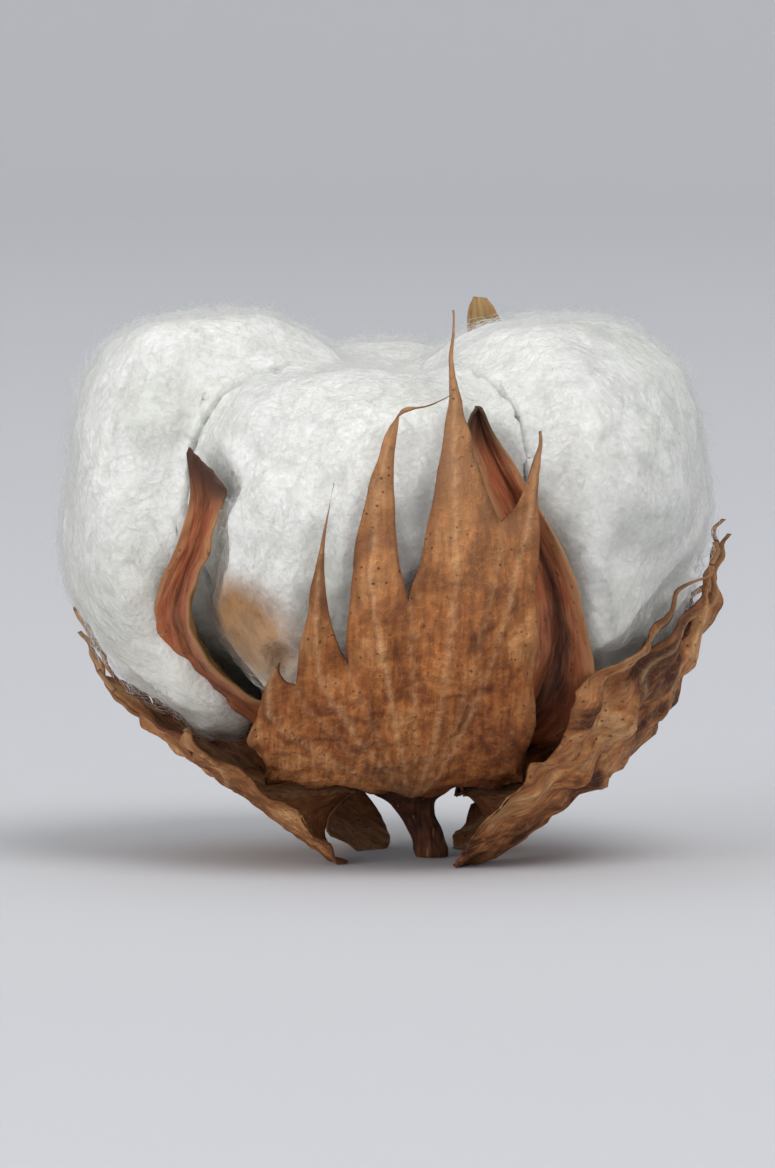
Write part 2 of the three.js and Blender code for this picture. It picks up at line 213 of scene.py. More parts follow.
def colours(tree, value, *stops):
    """Colours that follow a value, as places and colours."""
    node = add_node(tree, "ShaderNodeValToRGB", {"Fac": value})
    elements = node.color_ramp.elements
    elements.remove(elements[1])
    elements[0].position, elements[0].color = stops[0]
    for place, colour in stops[1:]:
        elements.new(place).color = colour
    return node.outputs["Color"]


def over(tree, share, under, upper, how="MIX"):
    """One colour laid over another by a share."""
    inputs = {0: share, 6: under, 7: upper}
    node = add_node(tree, "ShaderNodeMix", inputs, data_type="RGBA", blend_type=how)
    return node.outputs[2]


def relief(tree, shader, height, depth):
    """Raises a finish by a height, over a depth in millimetres."""
    inputs = {"Height": height, "Distance": depth * MM, "Strength": 1.0}
    normal = add_node(tree, "ShaderNodeBump", inputs).outputs["Normal"]
    tree.links.new(normal, shader.inputs["Normal"])


def mark(tree, name):
    """One of the marks that make_piece stored on a piece."""
    return add_node(tree, "ShaderNodeAttribute", {}, attribute_name=name).outputs["Fac"]


def drawn_out(tree, place, scale):
    """Coordinates along which a pattern is drawn out, by the scale on each axis."""
    return add_node(tree, "ShaderNodeMapping", {"Vector": place, "Scale": scale}).outputs["Vector"]


def stalk_bark():
    material, tree, shader = new_finish("stalk_bark", Specular_IOR_Level=0.3)
    place = add_node(tree, "ShaderNodeTexCoord", {}).outputs["Object"]
    stretched = drawn_out(tree, place, (1, 1, 0.16))
    streaks = grain(tree, stretched, 0.5, detail=6, roughness=0.65, distortion=0.3)
    patches = grain(tree, place, 2.2, detail=3)
    dark, brown, pale = paint(52, 26, 15), paint(98, 54, 33), paint(138, 84, 54)
    bark = colours(tree, streaks, (0.3, dark), (0.52, brown), (0.7, pale))
    worn = colours(tree, patches, (0.35, paint(120, 105, 95)), (0.65, paint(255, 255, 255)))
    bark = over(tree, 0.8, bark, worn, "MULTIPLY")
    pores = between(tree, cells(tree, stretched, 0.55, "F1"), 0.1, 0.26, 1, 0)
    bark = over(tree, times(tree, pores, 0.5), bark, paint(176, 132, 94))
    rings = grain(tree, place, 0.24, detail=5)
    wood = colours(tree, rings, (0.35, paint(150, 112, 74)), (0.65, paint(206, 178, 134)))
    cut = mark(tree, "cut")
    tree.links.new(over(tree, cut, bark, wood), shader.inputs["Base Color"])
    tree.links.new(between(tree, streaks, 0.3, 0.7, 0.82, 0.6), shader.inputs["Roughness"])
    relief(tree, shader, combine(tree, "ADD", streaks, times(tree, pores, 0.3)), 0.25)
    return material


def stalk_shape(azimuth, radius, height):
    """Bends the turned stalk: ridged bark with low knots, leaning over from the receptacle."""
    ridges = 0.035 * np.sin(7 * azimuth + 0.5 * height)
    ridges = ridges + 0.025 * np.sin(12 * azimuth - 0.9 * height + 1)
    knots = 0.02 * np.sin(4 * azimuth + 2.2 * height) + 0.02 * np.sin(3.1 * height)
    swell = 1 + (ridges + knots) * smoothstep(height, 0.02, 0.9) * smoothstep(radius, 1.0, 1.4)
    points = around(azimuth, radius * swell, height - STALK_STUB)
    points[..., 0] += STALK_LEAN * (smoothstep(height, 0, STALK_STUB) - 1)
    return points


stalk_wall = course(STALK_SIDE, np.linspace(0, 1, STALK_ROWS)).tolist()
points, faces = turned_form([*STALK_CUT, *stalk_wall, *STALK_TOP], STALK_SIDES, stalk_shape)
cut_face = smoothstep(points[:, 2], 0.06 - STALK_STUB, -STALK_STUB)
stalk = make_piece("stalk_stub", points, faces, stalk_bark(), {"cut": cut_face})
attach(stalk, "root")
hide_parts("stalk")


# Calyx
# The cup that held the flower, dried to brown paper. It is grown onto the receptacle, has five low
# teeth and fine upright veins, and clasps the foot of the burr.

CALYX_PATH = [(0, 0), (4, 0.1), (8.4, 0.7), (12.4, 2.7), (14.8, 4.5)]
CALYX_THICKNESS = 0.45
CALYX_SCALLOP = 1.4
CALYX_TEETH = 5
CALYX_VEINS = 50
CALYX_SIDES = 200
CALYX_ROWS = 24
CALYX_COLOURS = [(92, 56, 33), (132, 86, 52), (160, 116, 76), (84, 50, 30), (176, 138, 98)]
PATH_STEP = 0.05  # half the stretch over which a path's direction is taken


def even_path(knots):
    """A smooth path read by the distance along it, and its length."""
    dense = course(knots, np.linspace(0, 1, 1500))
    lengths = np.concatenate([[0], np.cumsum(np.linalg.norm(np.diff(dense, axis=0), axis=1))])

    def at(distance):
        return np.stack([np.interp(distance, lengths, dense[:, i]) for i in range(2)], -1)

    return at, lengths[-1]


def direction(at, length, distance):
    """The way a path runs at a distance along it."""
    run = at(np.minimum(distance + PATH_STEP, length)) - at(np.maximum(distance - PATH_STEP, 0))
    return run / np.linalg.norm(run, axis=1)[:, None]


def cup_rows(knots, thickness, count):
    """The rows of a cup: out along its underside to the rim, and back along its inside."""
    at, length = even_path(knots)
    distance = np.linspace(0, length, count)
    outer = at(distance)
    run = direction(at, length, distance)
    thinning = thickness * (1 - 0.5 * smoothstep(distance, 0.7 * length, length))
    inner = outer + thinning[:, None] * np.stack([-run[:, 1], run[:, 0]], -1)
    rows = np.vstack([outer, inner[::-1]])
    rows[[0, -1], 0] = 0
    rows[1:-1, 0] = np.maximum(rows[1:-1, 0], 0.05)
    return rows


def dry_leaf(name, shades):
    """Dried leaf: blotched brown paper with paler veins, dark dots and burnt margins."""
    dark, middle, pale, inside, vein_pale = (paint(*shade) for shade in shades)
    material, tree, shader = new_finish(name, Specular_IOR_Level=0.28)
    flat = add_node(tree, "ShaderNodeUVMap", {}, uv_map="flat").outputs["UV"]
    blotches = grain(tree, flat, 7, detail=5, roughness=0.6, distortion=0.7)
    mottle = grain(tree, flat, 0.9, detail=5, roughness=0.65)
    leaf = colours(tree, blotches, (0.4, dark), (0.52, middle), (0.64, pale))
    shade = colours(tree, mottle, (0.3, paint(158, 144, 132)), (0.62, paint(255, 255, 255)))
    leaf = over(tree, 0.8, leaf, shade, "MULTIPLY")
    fibres = grain(tree, drawn_out(tree, flat, (1, 0.14, 1)), 0.55, detail=4, roughness=0.6)
    shade = colours(tree, fibres, (0.36, paint(176, 152, 132)), (0.6, paint(255, 255, 255)))
    leaf = over(tree, 0.7, leaf, shade, "MULTIPLY")
    leaf = over(tree, times(tree, mark(tree, "tooth"), 0.45), leaf, vein_pale)
    back = over(tree, blotches, inside, leaf)
    leaf = over(tree, times(tree, mark(tree, "inner"), 0.85), leaf, back)
    net = between(tree, cells(tree, flat, 0.8, "DISTANCE_TO_EDGE"), 0.02, 0.12, 1, 0)
    net = times(tree, net, between(tree, mottle, 0.4, 0.65))
    leaf = over(tree, times(tree, net, 0.16), leaf, vein_pale)
    veins = times(tree, mark(tree, "vein"), between(tree, mottle, 0.3, 0.7, 0.15, 0.6))
    leaf = over(tree, veins, leaf, vein_pale)
    dots = between(tree, cells(tree, flat, 0.85, "F1"), 0.1, 0.2, 1, 0)
    dots = times(tree, dots, between(tree, blotches, 0.42, 0.56))
    leaf = over(tree, times(tree, dots, 0.75), leaf, paint(70, 38, 22))
    burnt = times(tree, mark(tree, "margin"), between(tree, mottle, 0.3, 0.6, 0.35, 1))
    leaf = over(tree, times(tree, burnt, 0.55), leaf, paint(78, 44, 26))
    tree.links.new(leaf, shader.inputs["Base Color"])
    tree.links.new(between(tree, mottle, 0.3, 0.7, 0.62, 0.88), shader.inputs["Roughness"])
    rough = combine(tree, "ADD", mottle, fibres)
    relief(tree, shader, combine(tree, "ADD", times(tree, net, 0.35), rough), 0.16)
    return material


def calyx_shape(azimuth, radius, height):
    """Bends the turned cup: a scalloped, frayed and waved rim, and low veins."""
    rim = CALYX_PATH[-1][1]
    share = np.clip(height / rim, 0, 1) ** 3
    teeth = 0.5 - 0.5 * np.cos(CALYX_TEETH * azimuth)
    frayed = 0.18 * np.sin(23 * azimuth + 1) + 0.12 * np.sin(41 * azimuth)
    waved = share * (0.22 * np.sin(9 * azimuth + 0.6) + 0.12 * np.sin(17 * azimuth))
    veins = 0.05 * np.sin(CALYX_VEINS * azimuth) * smoothstep(radius, 4, 8)
    lowered = height - share * (CALYX_SCALLOP * teeth + frayed)
    return around(azimuth, radius + waved + veins, lowered)


calyx_rows = cup_rows(CALYX_PATH, CALYX_THICKNESS, CALYX_ROWS)
points, faces = turned_form(calyx_rows, CALYX_SIDES, calyx_shape)
turn = np.arctan2(points[:, 0], -points[:, 1])
radius = np.hypot(points[:, 0], points[:, 1])
is_inner = np.repeat(np.arange(len(calyx_rows) - 2) >= CALYX_ROWS - 1, CALYX_SIDES)
marks = {
    "inner": np.append(is_inner, [0, 1]),
    "vein": (0.5 + 0.5 * np.sin(CALYX_VEINS * turn)) ** 4 * smoothstep(radius, 3, 7),
    "margin": smoothstep(radius, 13.2, 15),
    "tooth": np.zeros(len(points)),
}
calyx_paper = dry_leaf("calyx_paper", CALYX_COLOURS)
calyx = make_piece("calyx_cup", points, faces, calyx_paper, marks, points[:, :2])
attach(calyx, "root")
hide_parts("calyx")


# Burr
# The woody capsule of the boll: a bowl that has split from the top into five boat-shaped valves.
# It grew as one piece. Outside it is wrinkled brown with a crease down each valve, and inside it
# is lined with smooth straw-coloured skin. Painted shade darkens the crease and the whole bowl.

BOWL_PATH = [(0, 1.1), (3, 1.15), (7.2, 1.9), (11.2, 4.1), (13.2, 5.7)]
BOWL_THICKNESS = 1.0
BOWL_ROWS = 24
BOWL_SIDES = 96
VALVE_PATH = [(6.5, 1.7), (11.6, 4.4), (16.2, 8.4), (20, 13.4), (22.4, 19.2), (22.9, 25.4)]
VALVE_PATH += [(22.4, 30.5), (22.8, 33.6)]
VALVE_HALF_WIDTH = 6
VALVE_COLUMNS = 28
VALVE_ROWS = 72
VALVE_STEP = (0.01, 0.004)  # the steps over which a valve's slope is taken
MARGIN_WALL = 0.14  # half the wall at a valve's margin, and what its middle has more
MIDDLE_WALL = 0.3
WRINKLE_SIZE = 4
WRINKLE_DEPTH = 0.13
CREASE_DEPTH = 0.8  # the crease down the back of a valve
CREASE_WIDTH = 0.13
SEPTUM_HEIGHT = 0.9  # the ridge down its inside, where the wall between two chambers tore
SEPTUM_WIDTH = 0.1
GROOVE_SHADE_WIDTH = 0.38
VALVES_APART = 50  # on the layout that the grain follows
# height stretches a valve. turns are its azimuths and leans its shifts outwards, from foot to tip.
# flares are how far its left and right margins stand out past the stretch where it opens. tail
# widens the tip into two points, and slant carries one of them higher. furled is how much of each
# half has rolled away, over the stretch given as furls. The groove shade is painted shade down the
# crease in its back: its place across the valve, its depth, and how much of that fades out along
# it. dark_tip is how black the tip is.
PLAIN_VALVE = dict(
    flares=(3.2, 3.2),
    opens=(0.22, 0.55),
    tail=0,
    slant=0,
    furled=(0, 0),
    furls=(0.34, 0.78),
    groove=(0.1, 1, 0.6),
    dark_tip=0.9,
)
VALVES = [
    dict(
        PLAIN_VALVE,
        height=0.91,
        turns=(-48, -58, -60, -56, -46, -44),
        leans=(0, 1, 2, 2.9, 3.3, 3.8),
        tail=2.4,
        slant=-1.6,
        furled=(0.5, 0),
    ),
    dict(
        PLAIN_VALVE,
        height=1.07,
        turns=(36, 37, 36.5, 31, 22.5, 15),
        leans=(0, 2.4, 3.6, 3.2, 2.3, 1.6),
        flares=(3, 6),
        opens=(0.06, 0.4),
        furled=(0, 0.56),
        furls=(0.15, 0.6),
        # painted shade: a wide, strong groove shade darkens much of this valve's right half
        groove=(0.12, 2.6, 0.95),
    ),
    dict(
        PLAIN_VALVE,
        height=0.66,
        turns=(97, 97, 98, 98, 99, 101),
        leans=(0, 0, 0.2, 0.5, 0.9, 1.6),
        flares=(2.6, 2.6),
    ),
    dict(
        PLAIN_VALVE,
        height=1.32,
        turns=(160, 160, 160, 160, 157, 149),
        leans=(0, 1, 2.4, 3, -1, -10),
        tail=0.5,
        dark_tip=0,
    ),
    dict(
        PLAIN_VALVE,
        height=0.95,
        turns=(236, 236, 238, 241, 243, 243),
        leans=(0, 1, 2.6, 3.6, 4.2, 5.4),
        flares=(3.4, 2),
        tail=0.3,
        slant=0.4,
        furled=(0, 0.45),
        dark_tip=0.6,
    ),
]


def crumple(x, y, size, seed):
    """Dry creases over a flat surface, about size apart in no set direction, from about -1 to 1."""
    random = np.random.default_rng(seed)
    total = 0
    for _ in range(9):
        way, shift, bend = random.uniform(0, 2 * math.pi, 3)
        pace = random.uniform(0.6, 1.7) * 2 * math.pi / size
        run = x * math.cos(way) + y * math.sin(way)
        aside = y * math.cos(way) - x * math.sin(way)
        total = total + np.sin(pace * run + shift + 1.3 * np.sin(0.45 * pace * aside + bend))
    return total / 4


def grid_faces(columns, rows):
    """The faces of a net whose points run row by row."""
    faces = []
    for row in range(rows):
        for column in range(columns):
            corner = row * (columns + 1) + column
            faces.append((corner, corner + 1, corner + columns + 2, corner + columns + 1))
    return faces


def border_of(faces):
    """The edges that only one face has, as pairs in that face's order."""
    edges = {(a, b) for face in faces for a, b in zip(face, face[1:] + face[:1])}
    return sorted((a, b) for a, b in edges if (b, a) not in edges)


def thin_sheet(flat, faces, surface, step, outward, inward):
    """A flat net bent by surface(x, y) into a closed thin wall that reaches outward and inward."""
    x, y = flat.T
    across = surface(x + step[0], y) - surface(x - step[0], y)
    along = surface(x, y + step[1]) - surface(x, y - step[1])
    normal = np.cross(across, along)
    normal /= np.linalg.norm(normal, axis=1)[:, None]
    middle = surface(x, y)
    points = np.vstack([middle + normal * outward[:, None], middle - normal * inward[:, None]])
    count = len(flat)
    back = [tuple(count + corner for corner in reversed(face)) for face in faces]
    walls = [(b, a, count + a, count + b) for a, b in border_of(faces)]
    return points, [*faces, *back, *walls]


valve_at, valve_length = even_path(VALVE_PATH)


def valve_surface(valve):
    """The middle surface of a valve, read across it from -1 to 1 and along it from 0 to 1."""

    def surface(across, along):
        share = np.clip(along, 0, 1)
        distance = share * valve_length
        run = direction(valve_at, valve_length, distance)
        past = (along - share) * valve_length + valve["slant"] * across * smoothstep(share, 0.86, 1)
        radius, height = (valve_at(distance) + run * past[:, None]).T
        rise = 1 + (valve["height"] - 1) * smoothstep(share, 0.1, 0.6)
        opened = smoothstep(share, *valve["opens"]) * (1 - 0.65 * share)
        rolled = np.where(across < 0, *valve["furled"]) * smoothstep(share, *valve["furls"])
        bowed = np.abs(across) ** 1.6
        flare = np.where(across < 0, *valve["flares"]) * opened * bowed * (1 - 0.9 * rolled)
        edge = smoothstep(np.abs(across), 0.5, 1) * smoothstep(share, 0.25, 0.5)
        flare = flare + 0.3 * edge * np.sin(15 * share + 4 * across)
        radius = radius + run[:, 1] * flare + course(valve["leans"], share)
        height = height * rise - run[:, 0] * flare
        half = VALVE_HALF_WIDTH * (1 - share) ** 0.56 * (1 + 0.25 * share) + 0.08
        half = half + valve["tail"] * smoothstep(share, 0.84, 1)
        half = half * (1 - rolled)
        turn = np.radians(course(valve["turns"], share))
        return around(turn + across * half / radius, radius, height)

    return surface


def burr_skin():
    material, tree, shader = new_finish("burr_skin", Specular_IOR_Level=0.4)
    flat = add_node(tree, "ShaderNodeUVMap", {}, uv_map="flat").outputs["UV"]
    stretched = drawn_out(tree, flat, (1, 0.25, 1))
    streaks = grain(tree, stretched, 0.8, detail=6, roughness=0.65, distortion=0.4)
    patches = grain(tree, flat, 4, detail=4, distortion=0.5)
    dark, brown, pale = paint(92, 48, 27), paint(166, 93, 54), paint(196, 134, 88)
    outside = colours(tree, streaks, (0.28, dark), (0.5, brown), (0.72, pale))
    reddened = between(tree, patches, 0.45, 0.62)
    outside = over(tree, times(tree, reddened, 0.6), outside, paint(168, 78, 40))
    aged, straw, fresh = paint(140, 101, 60), paint(178, 143, 94), paint(200, 170, 118)
    lining = colours(tree, patches, (0.3, aged), (0.5, straw), (0.7, fresh))
    skin = over(tree, mark(tree, "inner"), outside, lining)
    # Painted shade: the groove mark darkens the crease down each valve and the bowl as if in
    # shadow.
    groove = times(tree, mark(tree, "groove"), between(tree, streaks, 0.25, 0.7, 1, 0.55))
    skin = over(tree, groove, skin, paint(40, 22, 14))
    rim = times(tree, mark(tree, "margin"), between(tree, patches, 0.3, 0.6, 0.4, 0.85))
    skin = over(tree, rim, skin, paint(172, 124, 82))
    skin = over(tree, mark(tree, "tip"), skin, paint(58, 34, 22))
    dots = between(tree, cells(tree, flat, 1.1, "F1"), 0.1, 0.2, 0.6, 0)
    skin = over(tree, dots, skin, paint(54, 30, 19))
    tree.links.new(skin, shader.inputs["Base Color"])
    tree.links.new(between(tree, streaks, 0.3, 0.7, 0.5, 0.75), shader.inputs["Roughness"])
    relief(tree, shader, streaks, 0.22)
    return material


bowl_rows = cup_rows(BOWL_PATH, BOWL_THICKNESS, BOWL_ROWS)
points, faces = turned_form(bowl_rows, BOWL_SIDES, around)
burr_points = [points]
burr_faces = list(faces)
burr_flat = [points[:, :2]]
burr_marks = {name: [np.zeros(len(points))] for name in ("inner", "groove", "margin", "tip")}
# Painted shade: the bowl, down among the calyx and the lint, is darkened throughout.
burr_marks["groove"] = [np.full(len(points), 0.6)]
columns = np.linspace(-1, 1, VALVE_COLUMNS + 1)
rows = np.linspace(0, 1, VALVE_ROWS + 1)
across, along = (grid.ravel() for grid in np.meshgrid(columns, rows))
net = grid_faces(VALVE_COLUMNS, VALVE_ROWS)
for number, valve in enumerate(VALVES):
    wall = MARGIN_WALL + MIDDLE_WALL * (1 - np.abs(across) ** 3) * (1 - along**3)
    spread = across * VALVE_HALF_WIDTH
    wrinkles = WRINKLE_DEPTH * crumple(spread, along * valve_length, WRINKLE_SIZE, 20 + number)
    crease = CREASE_DEPTH * np.exp(-((across / CREASE_WIDTH) ** 2))
    crease = crease * smoothstep(along, 0.2, 0.5) * (1 - along)
    septum = SEPTUM_HEIGHT * np.exp(-((across / SEPTUM_WIDTH) ** 2))
    septum = septum * smoothstep(along, 0.2, 0.45) * (1 - along)
    laid = np.stack([across, along], -1)
    outward = wall + wrinkles - crease
    inward = wall - wrinkles + crease + septum
    points, faces = thin_sheet(laid, net, valve_surface(valve), VALVE_STEP, outward, inward)
    offset = sum(len(part) for part in burr_points)
    burr_faces += [tuple(offset + corner for corner in face) for face in faces]
    burr_points.append(points)
    layout = laid * (VALVE_HALF_WIDTH, valve_length) + (0, VALVES_APART * number)
    burr_flat.append(np.tile(layout, (2, 1)))
    # Painted shade down each valve's crease, on its outer face only, fading towards the tip.
    middle, depth, fade = valve["groove"]
    deep = depth * np.exp(-(((across - middle) / GROOVE_SHADE_WIDTH) ** 2))
    deep = np.minimum(deep * smoothstep(along, 0.1, 0.4) * (1 - fade * along), 1)
    margin = smoothstep(np.abs(across), 0.62, 0.96) * smoothstep(along, 0.15, 0.4)
    tip = valve["dark_tip"] * smoothstep(along, 0.84, 0.98)
    burr_marks["inner"].append(np.repeat([0.0, 1.0], len(laid)))
    burr_marks["groove"].append(np.concatenate([deep, 0 * deep]))
    burr_marks["margin"].append(np.tile(margin, 2))
    burr_marks["tip"].append(np.tile(tip, 2))
points = np.vstack(burr_points)
marks = {name: np.concatenate(parts) for name, parts in burr_marks.items()}
burr = make_piece("burr_valves", points, burr_faces, burr_skin(), marks, np.vstack(burr_flat))
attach(burr, "root")
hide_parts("burr")


# Bracts
# Three heart-shaped leaves below the boll, dried to thin brown paper and cut at the top into long
# tapering teeth. A narrow claw holds each to the receptacle. A midrib runs out into every tooth.

BRACT_THICKNESS = 0.28
CLAW = np.array([4.5, -0.9])  # where a bract joins the receptacle: radius, height
CLAW_BREADTH = 3.2
CLAW_LENGTH = 5
WRAP_LEAST = 15  # the tightest radius that a blade wraps round
CRINKLE = 0.4
CRUMPLE_SIZE = 6
FINE_CRUMPLE_SIZE = 2.2
MARGIN_CURL = 0.4
MIDRIB_WIDTH = 0.26
SIDE_VEIN_WIDTH = 0.22
VEIN_HEIGHT = 0.16
TOOTH_COLUMNS = 14
TOOTH_ROWS = 34
BLADE_ROWS = 40
BRACT_STEP = (0.05, 0.05)  # the steps over which a blade's slope is taken
BRACTS_APART = 100  # on the layout that the blotches follow
# profile is the blade's curve out and up, and drop how much of it hangs below the claw. foot is
# how far the blade reaches to each side there, and lobe how low its two lobes hang. sinuses and
# tips are the notches and the points of the teeth on the flat blade. bends bow each tooth sideways,
# tapers draw it out, threads are where it becomes a thread, and curls how far its end turns aside.
# bleached is how pale the teeth have gone. lift stands them off the lint, over the stretch given
# as lifts. creases is how deep the blade has crumpled. colours run from the darkest blotch to the
# palest, and end with the inner face and the veins.
SIDE_BRACT = dict(drop=9.2, lobe=8.8, threads=(1, 1, 1, 1, 1, 1, 1))
BRACTS = [
    dict(
        node="bract_front",
        name="front_bract",
        azimuth=5,
        drop=1,
        foot=(-16, 10.8),
        lobe=0.6,
        profile=[
            (9.5, 0), (14, 1.4), (19.6, 4.8), (24.8, 11),
            (27.8, 19.5), (28.4, 28), (26.6, 36), (22, 44.5),
        ],
        sinuses=[(-17.5, 11), (-12.6, 17.5), (-7.5, 20), (-2.2, 26.4), (6.4, 33.6), (9.7, 27)],
        tips=[(-14.6, 20), (-9, 37.2), (-1, 49.4), (2.1, 54), (9.7, 41.8)],
        bends=(-0.5, -2, -4.2, -0.6, 0.6),
        tapers=(1.3, 2, 0.75, 2.1, 1.5),
        threads=(1, 1, 0.86, 1, 1),
        curls=[(0, 0), (0, 0), (3, -3.8), (0, 0), (0, 0)],
        bleached=1,
        lift=0.6,
        lifts=(24, 52),
        creases=0.28,
        colours=[(150, 84, 40), (196, 121, 62), (218, 153, 96), (122, 70, 40), (226, 180, 132)],
    ),
    dict(
        SIDE_BRACT,
        node="bract_left",
        name="left_bract",
        azimuth=-104,
        foot=(-14, 14),
        profile=[
            (5.4, -7.9), (11.5, -4), (17.2, 0.2), (23.4, 5.2),
            (27.8, 10.4), (30, 15.5), (31, 20),
        ],
        sinuses=[
            (-15.5, 5), (-12, 9.5), (-7.5, 12), (-2.5, 13.5),
            (2.5, 13.5), (7.5, 12), (12, 9.5), (15.5, 5),
        ],
        tips=[
            (-17.5, 14), (-12.5, 19.5), (-6.5, 23.5), (0.5, 26),
            (6.5, 24), (12.5, 20.5), (18, 14),
        ],
        bends=(-0.8, -0.8, 0.6, 0.8, -0.6, 0.8, 0.8),
        tapers=(1.3, 1.5, 1.5, 1.7, 1.5, 1.5, 1.3),
        curls=[
            (-0.8, -0.24), (0.6, -0.18), (-0.6, -0.18), (0.8, -0.24),
            (0.9, -0.27), (-0.7, -0.21), (0.8, -0.24),
        ],
        bleached=1,
        lift=1,
        lifts=(8, 24),
        creases=0.36,
        colours=[(166, 106, 62), (216, 152, 97), (236, 183, 126), (128, 66, 34), (236, 192, 140)],
    ),
    dict(
        SIDE_BRACT,
        node="bract_right",
        name="right_bract",
        azimuth=92,
        foot=(-16.5, 15),
        profile=[
            (6.6, -7.9), (12.2, -4.8), (17.2, -0.8), (22, 4),
            (25, 9.5), (27, 16), (28.4, 25),
        ],
        sinuses=[
            (-23.7, 17), (-18.5, 17.8), (-11.5, 17.6), (-4, 17.8),
            (2, 17), (8, 15.5), (13, 12.5), (17.5, 7),
        ],
        tips=[
            (-11.6, 28.5), (-7.6, 30.5), (-4, 31), (0, 32),
            (6, 29.5), (12, 25), (18.5, 16.5),
        ],
        bends=(-1.4, -0.8, 0.8, -0.8, -0.6, 0.8, 0.8),
        tapers=(1.5, 1.5, 1.6, 1.7, 1.5, 1.5, 1.3),
        curls=[
            (0.5, -0.15), (0.8, -0.24), (-0.8, -0.24), (0.9, -0.27),
            (-0.7, -0.21), (0.8, -0.24), (0.9, -0.27),
        ],
        bleached=0.15,
        lift=1.4,
        lifts=(14, 30),
        creases=0.6,
        colours=[(98, 51, 28), (208, 137, 82), (230, 175, 119), (98, 52, 30), (232, 190, 140)],
    ),
]


def tooth_line(bract, tooth, count):
    """The midrib of a tooth, from the blade's rim to its tip."""
    root = (np.array(bract["sinuses"][tooth]) + bract["sinuses"][tooth + 1]) / 2
    tip = np.array(bract["tips"][tooth])
    bow = (root + tip) / 2 + (bract["bends"][tooth], 0)
    share = np.linspace(0, 1, count)[:, None]
    curl = smoothstep(share, 0.74, 1.02) * bract["curls"][tooth]
    return (1 - share) ** 2 * root + 2 * share * (1 - share) * bow + share**2 * tip + curl


def bract_net(bract):
    """The blade laid flat: columns run from the foot to the notches, and on into each tooth."""
    teeth = len(bract["tips"])
    columns = teeth * TOOTH_COLUMNS
    side = np.linspace(-1, 1, columns + 1)
    breadth = np.where(side < 0, -bract["foot"][0], bract["foot"][1])
    hang = np.sin(math.pi * np.abs(side) ** 0.9).clip(0) ** 0.7
    foot = np.stack([side * breadth, -bract["lobe"] * hang], -1)
    place = np.linspace(0, teeth, columns + 1)
    sinuses = np.array(bract["sinuses"], float)
    rim = np.stack([np.interp(place, np.arange(teeth + 1), sinuses[:, i]) for i in range(2)], -1)
    share = np.linspace(0, 1, BLADE_ROWS + 1)[:, None, None]
    points = list((foot * (1 - share) + rim * share).reshape(-1, 2))
    faces = grid_faces(columns, BLADE_ROWS)
    for tooth in range(teeth):
        first = tooth * TOOTH_COLUMNS
        line = tooth_line(bract, tooth, TOOTH_ROWS + 1)
        spread = rim[first : first + TOOTH_COLUMNS + 1] - line[0]
        below = [BLADE_ROWS * (columns + 1) + first + i for i in range(TOOTH_COLUMNS + 1)]
        for row in range(1, TOOTH_ROWS):
            above = list(range(len(points), len(points) + TOOTH_COLUMNS + 1))
            share = row / TOOTH_ROWS
            width = max(1 - share / bract["threads"][tooth], 0) ** bract["tapers"][tooth]
            points += list(line[row] + spread * max(width, 0.05 * (1 - share)))
            for i in range(TOOTH_COLUMNS):
                faces.append((below[i], below[i + 1], above[i + 1], above[i]))
            below = above
        faces += [(below[i], below[i + 1], len(points)) for i in range(TOOTH_COLUMNS)]
        points.append(line[-1])
    return np.array(points), faces


def bract_surface(bract):
    """The middle surface of a bract, read by the places x and y on the flat blade."""
    at, reach = even_path(bract["profile"])
    turn = math.radians(bract["azimuth"])

    def surface(x, y):
        distance = y + bract["drop"]
        pinch = np.exp(-((x / CLAW_BREADTH) ** 2) - (y / CLAW_LENGTH) ** 2)[:, None]
        radius, height = (at(distance.clip(0, reach)) * (1 - pinch) + CLAW * pinch).T
        wrap = np.maximum(radius, WRAP_LEAST)
        crinkle = CRINKLE * smoothstep(y, 4, 16) * np.sin(0.85 * x + 1.4 * np.sin(0.16 * y))
        lifted = bract["lift"] * smoothstep(y, *bract["lifts"]) + crinkle
        radial = radius + lifted - wrap * (1 - np.cos(x / wrap))
        sideways = wrap * np.sin(x / wrap)
        points = around(turn, radial, height + (distance - reach).clip(0))
        points[:, 0] += sideways * math.cos(turn)
        points[:, 1] += sideways * math.sin(turn)
        return points

    return surface


def nearest(points, targets):
    """The distance from each point to the nearest target."""
    return np.sqrt(((points[:, None] - targets[None]) ** 2).sum(-1).min(1))


